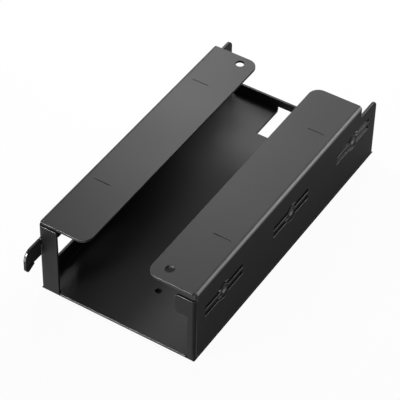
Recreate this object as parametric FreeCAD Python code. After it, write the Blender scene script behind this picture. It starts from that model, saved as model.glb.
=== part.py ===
"""Power adapter bracket: one blank of thin steel sheet, cut and folded into an open tray.

Frame: origin at the centre of the base's underside, X across the tray, Y from its
open front to the lip at its back, Z up. Sizes are in millimetres.
"""

import FreeCAD
import Part
import math
import os
from FreeCAD import Vector

# The sheet and its folds
sheet = 1.0
bend = 0.5
fold_gap = 0.3
fold_slit = 0.8

# The tray over its outside faces
width = 66.6
length = 131.8
height = 34.0

# The two top flanges that hold the adapter down
flange_width = 21.0
flange_corner = 4.5
flange_inset = 0.2
flange_from_back = 13.9

# One screw hole in each flange, at opposite ends
screw_hole = 3.4
screw_hole_from_side = 14.5
left_hole_from_end = 4.2
right_hole_from_end = 5.9

# Scribed marks across the flanges
mark_length = 7.0
mark_width = 0.35
mark_depth = 0.12
mark_from_side = 4.1
marks_from_front = (29.3, 95.8)

# Side walls: they reach past the flanges and end in a rounded ear where the lip's fold starts
ear_height = 28.5
ear_corner = 3.0

# Base: a small pilot hole, and a cut-out that runs up into the back lip
pilot_hole = 2.5
pilot_hole_from_front = 21.1
pilot_hole_right = 4.2
cutout_width = 20.9
cutout_from_back = 17.0
cutout_height = 3.3
lip_height = 6.8

# Front tabs, folded in from the walls to stop the adapter
left_tab_width = 7.9
left_tab_top = 32.2
right_tab_width = 8.5
right_tab_top = 30.4
right_tab_bottom = 21.5
right_strip_width = 3.2
tab_corner = 1.5

# Windows in the left wall: the long one, and the one that the hook's blank leaves
window_bottom = 8.2
window_top = 17.7
window_length = 26.0
blank_length = 8.4
cut_corner = 0.6

# The hook that is folded forwards from the left tab
hook_reach = 9.6
hook_top = 25.6
hook_root_height = 5.2
hook_corner = 4.0
hook_slit = 0.2
barb_depth = 2.0
barb_start = 4.9
barb_corner = 1.2
barb_lip = 0.5
barb_bend = 0.3

# Three springs in the right wall: a narrow bar with a round, dimpled pad
spring_count = 3
spring_pitch = 46.6
spring_first = 19.3
spring_height = 20.3
spring_length = 25.0
spring_bar = 1.5
spring_slot = 1.9
pad_radius = 2.6
pad_gap = 1.4
dimple_radius = 1.3
dimple_depth = 0.5

side = width / 2
front = -length / 2
back = length / 2
round_out = bend + sheet
flange_back = back - flange_from_back
wall_back = back - round_out
blank_top = hook_top + hook_slit

# How the two directions of a flat outline lie in space, and which way it is extruded
PLANES = {
    "x": (lambda a, b, c: Vector(c, a, b), Vector(1, 0, 0)),
    "y": (lambda a, b, c: Vector(a, c, b), Vector(0, 1, 0)),
    "z": (lambda a, b, c: Vector(a, b, c), Vector(0, 0, 1)),
}


def plate(axis, outline, low, high):
    """Solid between low and high along one axis, from corners (a, b) or (a, b, radius)."""
    place, along = PLANES[axis]
    corners = [place(point[0], point[1], low) for point in outline]
    radii = [point[2] if len(point) == 3 else 0 for point in outline]
    starts, ends, edges = [], [], []
    for index, (corner, radius) in enumerate(zip(corners, radii)):
        before = (corners[index - 1] - corner).normalize()
        after = (corners[(index + 1) % len(corners)] - corner).normalize()
        half = before.getAngle(after) / 2
        starts.append(corner + before * (radius / math.tan(half)))
        ends.append(corner + after * (radius / math.tan(half)))
        if radius:
            middle = corner + (before + after).normalize() * (radius / math.sin(half) - radius)
            edges.append(Part.Arc(starts[-1], middle, ends[-1]).toShape())
    for index, start in enumerate(starts):
        if (start - ends[index - 1]).Length > 1e-6:
            edges.append(Part.LineSegment(ends[index - 1], start).toShape())
    wire = Part.Wire(Part.__sortEdges__(edges))
    return Part.Face(wire).extrude(along * (high - low))


def block(x, y, z):
    """Box from a pair of limits along each axis."""
    size = (x[1] - x[0], y[1] - y[0], z[1] - z[0])
    return Part.makeBox(*size, Vector(x[0], y[0], z[0]))


def folded(path, inside=bend):
    """Outline of a folded sheet: path runs along one face, with the sheet on its left."""
    runs = []
    for start, end in zip(path, path[1:]):
        run = math.dist(start, end)
        runs.append(((end[0] - start[0]) / run, (end[1] - start[1]) / run))
    near, far = [], []
    for (a, b), (da, db), (ea, eb) in zip(path, runs[:1] + runs, runs + runs[-1:]):
        turn = da * eb - db * ea
        near_radius, far_radius = 0, 0
        if turn > 0:
            near_radius, far_radius = inside + sheet, inside
        elif turn < 0:
            near_radius, far_radius = inside, inside + sheet
        share = sheet / (1 + da * ea + db * eb)
        near.append((a, b, near_radius))
        far.append((a - (db + eb) * share, b + (da + ea) * share, far_radius))
    return near + far[::-1]


def hole(x, y, low, high, diameter):
    """Upright cylinder to cut a round hole with."""
    return Part.makeCylinder(diameter / 2, high - low, Vector(x, y, low))


def make_channel():
    """Base, side walls and flanges, folded as one channel along Y."""
    inner = side - flange_width
    section = folded([(-inner, height), (-side, height), (-side, 0), (side, 0), (side, height), (inner, height)])
    channel = plate("y", section, front, wall_back)
    silhouette = [
        (front, 0),
        (wall_back, 0),
        (wall_back, ear_height, ear_corner),
        (flange_back, ear_height, cut_corner),
        (flange_back, height),
        (front, height),
    ]
    return channel.common(plate("x", silhouette, -side, side))


def trim_flanges(body):
    """Rounds the flanges' free corners, drills the screw holes and scribes the marks."""
    flange_front = front + flange_inset
    inner = side - flange_width
    hole_y = {-1: flange_back - left_hole_from_end, 1: flange_front + right_hole_from_end}
    for hand in (-1, 1):
        body = body.cut(block(sorted((0, hand * side)), (front, flange_front), (height - round_out, height)))
        corners = [Vector(hand * inner, y, height - sheet / 2) for y in (flange_front, flange_back)]
        edges = [e for e in body.Edges if any((e.CenterOfMass - c).Length < 1e-3 for c in corners)]
        body = body.makeFillet(flange_corner, edges)
        x = hand * (side - screw_hole_from_side)
        body = body.cut(hole(x, hole_y[hand], height - sheet, height, screw_hole))
        across = sorted(hand * (side - mark_from_side - reach) for reach in (0, mark_length))
        for from_front in marks_from_front:
            along = (front + from_front - mark_width / 2, front + from_front + mark_width / 2)
            body = body.cut(block(across, along, (height - mark_depth, height)))
    return body


def add_back_lip(body):
    """Folds the base up at the back, between the walls, and cuts the base open."""
    reach = side - round_out - fold_gap
    bend_line = back - round_out
    relief = bend_line - fold_slit
    body = body.cut(block((-reach, reach), (bend_line, back), (0, sheet)))
    for hand in (-1, 1):
        slit = sorted((hand * reach, hand * (reach + fold_gap)))
        body = body.cut(block(slit, (relief, back), (0, sheet)))
    lip = plate("x", folded([(bend_line, 0), (back, 0), (back, lip_height)]), -reach, reach)
    body = body.fuse(lip)
    half = cutout_width / 2
    body = body.cut(block((-half, half), (back - cutout_from_back, back), (0, cutout_height)))
    return body.cut(hole(pilot_hole_right, front + pilot_hole_from_front, 0, sheet, pilot_hole))


def add_front_tabs(body):
    """Folds a tab in from the front of each wall, with the base cut back behind it."""
    envelope = plate(
        "y",
        [(-side, 0, round_out), (side, 0, round_out), (side, height), (-side, height)],
        front,
        front + round_out,
    )
    bend_line = front + round_out
    left_edge = left_tab_width - side
    right_edge = side - right_tab_width
    strip_edge = side - right_strip_width
    left_shape = [(-side, 0), (left_edge, 0), (left_edge, left_tab_top, cut_corner), (-side, left_tab_top)]
    right_shape = [
        (side, 0),
        (side, right_tab_top),
        (right_edge, right_tab_top, tab_corner),
        (right_edge, right_tab_bottom, tab_corner),
        (strip_edge, right_tab_bottom, cut_corner),
        (strip_edge, 0),
    ]
    tabs = (
        (-1, left_tab_top, left_edge, [(-side, bend_line), (-side, front), (left_edge, front)], left_shape),
        (1, right_tab_top, strip_edge, [(right_edge, front), (side, front), (side, bend_line)], right_shape),
    )
    for hand, top, foot, path, shape in tabs:
        corner = sorted((hand * side, hand * (side - round_out)))
        body = body.cut(block(corner, (front, bend_line), (0, height)))
        behind = sorted((hand * side, foot - hand * fold_gap))
        body = body.cut(block(behind, (front, bend_line), (0, sheet)))
        tab = plate("z", folded(path), 0, top).common(plate("y", shape, front, bend_line))
        body = body.fuse(tab.common(envelope))
    return body


def open_left_wall(body):
    """Cuts the long window, and the smaller one above it that the hook's blank leaves."""
    bend_line = front + round_out
    window = [
        (bend_line, window_bottom),
        (front + window_length, window_bottom, cut_corner),
        (front + window_length, window_top, cut_corner),
        (bend_line + blank_length, window_top, cut_corner),
        (bend_line + blank_length, blank_top, cut_corner),
        (bend_line, blank_top),
    ]
    return body.cut(plate("x", window, -side, -side + sheet))


def add_hook(body):
    """Folds the hook forwards from the left tab: a blade with a lipped barb under its tip."""
    low = window_top
    root_top = low + hook_root_height
    tip = front - hook_reach
    barb_low = low - barb_depth
    barb_back = front - barb_start
    barb_run = barb_back - tip
    root = (-side, -side + round_out)
    body = body.cut(block(root, (front, front + round_out), (low - hook_slit, blank_top)))
    body = body.fuse(block(root, (front, front + sheet), (root_top + hook_slit, hook_top)))
    path = [(-side + round_out, front + sheet), (-side, front + sheet), (-side, tip)]
    blade = [
        (front + sheet, low),
        (barb_back, low),
        (tip, barb_low, barb_corner),
        (tip, hook_top, hook_corner),
        (front - hook_slit, hook_top),
        (front - hook_slit, root_top),
        (front + sheet, root_top),
    ]
    hook = plate("z", folded(path), barb_low, hook_top).common(plate("x", blade, *root))
    slope = math.hypot(barb_run, barb_depth)
    section = folded([(-side, 2 * sheet), (-side, 0), (-side + sheet + barb_lip, 0)], barb_bend)
    lip = plate("y", section, 0, slope)
    lip.rotate(Vector(0, 0, 0), Vector(1, 0, 0), math.degrees(math.atan2(barb_depth, barb_run)))
    lip.translate(Vector(0, tip, barb_low))
    lip = lip.common(plate("x", blade, -side, -side + sheet + barb_lip))
    return body.fuse(hook.fuse(lip))


def cut_springs(body):
    """Cuts the slots round each spring's bar and pad, and presses the pad's dimple inwards."""
    wall = (side - sheet, side)
    half_slots = spring_bar / 2 + spring_slot
    ball = (dimple_radius ** 2 + dimple_depth ** 2) / (2 * dimple_depth)
    for index in range(spring_count):
        y = front + spring_first + index * spring_pitch
        span = (y - spring_length / 2, y + spring_length / 2)
        heights = (spring_height - half_slots, spring_height + half_slots)
        bar_heights = (spring_height - spring_bar / 2, spring_height + spring_bar / 2)
        centre = Vector(wall[0], y, spring_height)
        opening = block(wall, span, heights).fuse(
            Part.makeCylinder(pad_radius + pad_gap, sheet, centre, Vector(1, 0, 0))
        )
        spring = block(wall, span, bar_heights).fuse(
            Part.makeCylinder(pad_radius, sheet, centre, Vector(1, 0, 0))
        )
        body = body.cut(opening.cut(spring))
        middle = Vector(side + ball - dimple_depth, y, spring_height)
        inside = block((side - 2 * round_out, wall[0]), span, heights)
        dome = Part.makeSphere(ball + sheet, middle).common(inside)
        body = body.fuse(dome).cut(Part.makeSphere(ball, middle))
    return body


def main():
    os.makedirs("parts", exist_ok=True)
    body = make_channel()
    body = trim_flanges(body)
    body = add_back_lip(body)
    body = add_front_tabs(body)
    body = open_left_wall(body)
    body = add_hook(body)
    body = cut_springs(body)
    body = body.removeSplitter()
    solid = body.Solids[0]
    print("solids", len(body.Solids), "valid", solid.isValid(), "volume", round(solid.Volume, 1))
    solid.exportStep("parts/folded_bracket.step")


main()
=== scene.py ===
import math

import bpy
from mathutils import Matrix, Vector


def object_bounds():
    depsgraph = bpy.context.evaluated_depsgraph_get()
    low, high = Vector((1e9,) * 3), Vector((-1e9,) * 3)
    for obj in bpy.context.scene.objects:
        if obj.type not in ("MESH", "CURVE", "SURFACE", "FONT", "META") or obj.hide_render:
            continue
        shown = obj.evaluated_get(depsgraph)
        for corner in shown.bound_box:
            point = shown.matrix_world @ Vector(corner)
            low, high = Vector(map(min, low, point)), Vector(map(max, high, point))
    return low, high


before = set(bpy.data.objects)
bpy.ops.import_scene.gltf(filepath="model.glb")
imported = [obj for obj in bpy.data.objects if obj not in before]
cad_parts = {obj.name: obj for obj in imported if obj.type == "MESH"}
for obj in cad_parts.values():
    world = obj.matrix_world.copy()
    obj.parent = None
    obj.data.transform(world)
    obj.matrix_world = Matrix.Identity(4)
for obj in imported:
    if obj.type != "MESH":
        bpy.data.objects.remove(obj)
cad_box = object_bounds()


# The folded bracket is one blank of 1 mm steel sheet, cut out, tumbled so that its corners are
# slightly round, and folded into an open tray with flanges, lip, tabs, hook and springs. It is
# sprayed with satin black powder and baked, and the coat flows out shiny round the outer edges.

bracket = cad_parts["folded_bracket"]
edge_radius = 0.00012
smallest_facet = 0.0001
same_plane = math.radians(0.3)
sharp_edge = math.radians(28)

joined = bracket.modifiers.new("joined faces", "WELD")
joined.merge_threshold = smallest_facet

flat = bracket.modifiers.new("flat sheet", "DECIMATE")
flat.decimate_type = "DISSOLVE"
flat.angle_limit = same_plane

tumbled = bracket.modifiers.new("tumbled edges", "BEVEL")
tumbled.width = edge_radius
tumbled.segments = 3
tumbled.limit_method = "ANGLE"
tumbled.angle_limit = sharp_edge
tumbled.use_clamp_overlap = False

even = bracket.modifiers.new("even shading", "WEIGHTED_NORMAL")
even.mode = "FACE_AREA"
even.weight = 100


class Socket:
    """One value in a node tree. Python arithmetic on it adds the Math nodes."""

    def __init__(self, owner, link):
        self.owner = owner
        self.link = link

    def maths(self, operation, *values):
        made = self.owner.node("ShaderNodeMath", {"operation": operation}, dict(enumerate(values)))
        return made["Value"]

    def __add__(self, other):
        return self.maths("ADD", self, other)

    def __sub__(self, other):
        return self.maths("SUBTRACT", self, other)

    def __rsub__(self, other):
        return self.maths("SUBTRACT", other, self)

    def __mul__(self, other):
        return self.maths("MULTIPLY", self, other)

    def __lt__(self, other):
        return self.maths("LESS_THAN", self, other)

    def __gt__(self, other):
        return self.maths("GREATER_THAN", self, other)

    def __abs__(self):
        return self.maths("ABSOLUTE", self)

    def or_more(self, other):
        return self.maths("MAXIMUM", self, other)

    __radd__ = __add__
    __rmul__ = __mul__


class Nodes:
    """The node tree of a material or of the world."""

    def __init__(self, owner):
        owner.use_nodes = True
        self.tree = owner.node_tree

    def node(self, kind, settings=None, inputs=None):
        """Adds a node, makes its settings, fills its sockets and returns its outputs by name."""
        made = self.tree.nodes.new(kind)
        for name, value in (settings or {}).items():
            setattr(made, name, value)
        self.fill(made, inputs or {})
        return {output.name: Socket(self, output) for output in made.outputs if output.enabled}

    def fill(self, made, inputs):
        """Links or sets the sockets of a node, by their names or places."""
        for name, value in inputs.items():
            if isinstance(value, Socket):
                self.tree.links.new(value.link, made.inputs[name])
            else:
                made.inputs[name].default_value = value


# The powder coat has a fine orange peel, a trace of grain and slightly lighter clouds
peel_waves = 900.0
grain_waves = 4200.0
cloud_waves = 35.0
peel_share = 0.7
texture_depth = 0.00006
darkest_black = (0.014, 0.014, 0.0143, 1)
lightest_black = (0.019, 0.019, 0.0194, 1)
satin = 0.53
side_bend_reach = 0.014
end_edge_reach = 0.04

powder_coat = bpy.data.materials.new("satin black powder coat")
coat = Nodes(powder_coat)
place = coat.node("ShaderNodeTexCoord")["Object"]


def noise(waves, detail):
    return coat.node("ShaderNodeTexNoise", inputs={"Vector": place, "Scale": waves, "Detail": detail})["Fac"]


peel = noise(peel_waves, 2.0)
grain = noise(grain_waves, 2.0)
cloud = noise(cloud_waves, 3.0)
relief = coat.node("ShaderNodeBump", inputs={
    "Height": peel * peel_share + grain * (1 - peel_share),
    "Strength": 0.5,
    "Distance": texture_depth,
})
shades = {"Factor": cloud, "A": darkest_black, "B": lightest_black}
shade = coat.node("ShaderNodeMix", {"data_type": "RGBA"}, shades)

# Its sheen is on slanted faces that look away from the middle, and is full at half way to upright
to_full = 4.0
normal = coat.node("ShaderNodeNewGeometry")["Normal"]
facing = coat.node("ShaderNodeSeparateXYZ", inputs={"Vector": normal})
spot = coat.node("ShaderNodeSeparateXYZ", inputs={"Vector": place})
to_side = spot["X"] * facing["X"] > side_bend_reach
to_end = spot["Y"] * facing["Y"] > end_edge_reach
level = abs(facing["Z"])
sheen = level * (1 - level) * to_side.or_more(to_end) * to_full

coat.fill(coat.tree.nodes["Principled BSDF"], {
    "Base Color": shade["Result"],
    "Roughness": satin + cloud * 0.06 + grain * 0.04,
    "Specular IOR Level": 0.375,
    "Normal": relief["Normal"],
    "Coat Weight": sheen,
    "Coat Roughness": 0.28,
    "Coat IOR": 5.0,
})
for slot in bracket.material_slots:
    slot.material = powder_coat


# The floor is a wide sheet of pale matt card, laid out flat beneath the bracket. It looks white and
# takes the bracket's soft shadow. Right beneath the bracket, not in the cut-out, it is painted shade.

floor_half = 3.0
floor_drop = 0.00005
corners = [(x * floor_half, y * floor_half, 0) for x, y in ((-1, -1), (1, -1), (1, 1), (-1, 1))]
floor_mesh = bpy.data.meshes.new("floor")
floor_mesh.from_pydata(corners, [], [(0, 1, 2, 3)])
floor = bpy.data.objects.new("floor", floor_mesh)
floor.location.z = -floor_drop
bpy.context.collection.objects.link(floor)

right_side, back_end = cad_box[1][0], cad_box[1][1]
inside_edge = 0.0001
corner_bend = 0.0007
cutout_half = 0.0105
cutout_start = 0.0485
card_seen = 0.95
card_in_sheen = 0.12
# painted light: how much brighter the card before the bracket looks in reflections only
front_painted_light_share = 0.8
card_grey = 0.35
card_grey_seen = 0.45
# painted shade: the dark grey given to the card right beneath the bracket
painted_shade_grey = (0.02, 0.02, 0.02, 1)

pale_card = bpy.data.materials.new("pale card")
card = Nodes(pale_card)
card.tree.nodes.remove(card.tree.nodes["Principled BSDF"])
ray = card.node("ShaderNodeLightPath")
card_place = card.node("ShaderNodeTexCoord")["Object"]
axes = card.node("ShaderNodeSeparateXYZ", inputs={"Vector": card_place})
across = axes["X"]
along = axes["Y"]
open_floor = (abs(across) < cutout_half) * (along > cutout_start)
# painted shade: the card's footprint beneath the bracket, less the cut-out, is made dark and unlit
painted_shade_under = (abs(across) < right_side - inside_edge) * (abs(along) < back_end - inside_edge) * (1 - open_floor)
# painted light: the card before the bracket is brighter in reflections only, a painted pool of light the tabs
# mirror
painted_light_in_front = (along < -back_end) * (across < right_side + corner_bend)
mirrored = ray["Is Glossy Ray"] + ray["Is Transmission Ray"]
# white seen by the camera, plus in reflections an even share and the painted light before the bracket
white_share = ray["Is Camera Ray"] * card_seen + mirrored * (card_in_sheen + painted_light_in_front * front_painted_light_share)
greys = {"Factor": painted_shade_under, "A": card_grey + ray["Is Camera Ray"] * card_grey_seen, "B": painted_shade_grey}
tone = card.node("ShaderNodeMix", {"data_type": "RGBA"}, greys)
matt = card.node("ShaderNodeBsdfDiffuse", inputs={"Color": tone["Result"]})
white = card.node("ShaderNodeEmission", inputs={"Color": (1, 1, 1, 1), "Strength": 1.0})
# painted shade: no white beneath the bracket, so the painted shade stays dark
parts = {"Fac": white_share * (1 - painted_shade_under), 1: matt["BSDF"], 2: white["Emission"]}
surface = card.node("ShaderNodeMixShader", inputs=parts)
card.fill(card.tree.nodes["Material Output"], {"Surface": surface["Shader"]})
floor_mesh.materials.append(pale_card)


# The light is seven soft boxes on stands in a dim white room. Those behind the bracket lay the sheen
# on its flanges and base, the strip lights the right wall and its bend, and those in front light
# the tabs and draw the bright lines along the front edges.

def soft_box(name, turn, height, away, size, radiance, target=(0, 0, 0.02)):
    """Aims a lamp at the target. Its turn is clockwise from the back, seen from above."""
    turn = math.radians(turn)
    height = math.radians(height)
    way = Vector((math.sin(turn) * math.cos(height), math.cos(turn) * math.cos(height), math.sin(height)))
    lamp = bpy.data.lights.new(name, "AREA")
    lamp.shape = "RECTANGLE"
    lamp.size = size[0]
    lamp.size_y = size[1]
    lamp.energy = radiance * math.pi * size[0] * size[1]
    stand = bpy.data.objects.new(name, lamp)
    stand.location = Vector(target) + way * away
    stand.rotation_euler = (-way).to_track_quat("-Z", "Y").to_euler()
    bpy.context.collection.objects.link(stand)


left_flange_back = (-0.031, 0.046, 0.034)
before_the_front = (-0.01, -0.09, 0.01)
soft_box("tall box", turn=-10, height=33, away=0.5, size=(0.22, 0.22), radiance=5.8)
soft_box("left box", turn=-42, height=50, away=0.15, size=(0.06, 0.06), radiance=21, target=left_flange_back)
soft_box("back box", turn=20, height=50, away=0.5, size=(0.22, 0.22), radiance=3.3)
soft_box("high box", turn=0, height=80, away=0.5, size=(0.22, 0.22), radiance=0.8)
soft_box("edge box", turn=-150, height=40, away=0.26, size=(0.08, 0.08), radiance=13, target=before_the_front)
soft_box("strip box", turn=48, height=19, away=0.6, size=(0.3, 0.13), radiance=1.7)
soft_box("front box", turn=150, height=60, away=0.7, size=(0.3, 0.3), radiance=0.8)

room_light = 0.08
world = bpy.data.worlds.new("studio")
room = Nodes(world)
bpy.context.scene.world = world
seen = room.node("ShaderNodeLightPath")["Is Camera Ray"]
room.fill(room.tree.nodes["Background"], {
    "Color": (1, 1, 1, 1),
    "Strength": room_light + seen * (1 - room_light),
})


# The camera stands on a tripod in front of the bracket and to its right, three quarters of a metre
# off, and looks down on it through a long lens.

lens = bpy.data.cameras.new("camera")
lens.lens = 172.313
lens.sensor_width = 36
lens.clip_start = 0.01
camera = bpy.data.objects.new("camera", lens)
camera.location = (0.268134, -0.446587, 0.514027)
camera.rotation_euler = [math.radians(angle) for angle in (45.86299, -0.90236, 32.44473)]
bpy.context.collection.objects.link(camera)
bpy.context.scene.camera = camera
bpy.context.scene.view_settings.view_transform = "Standard"
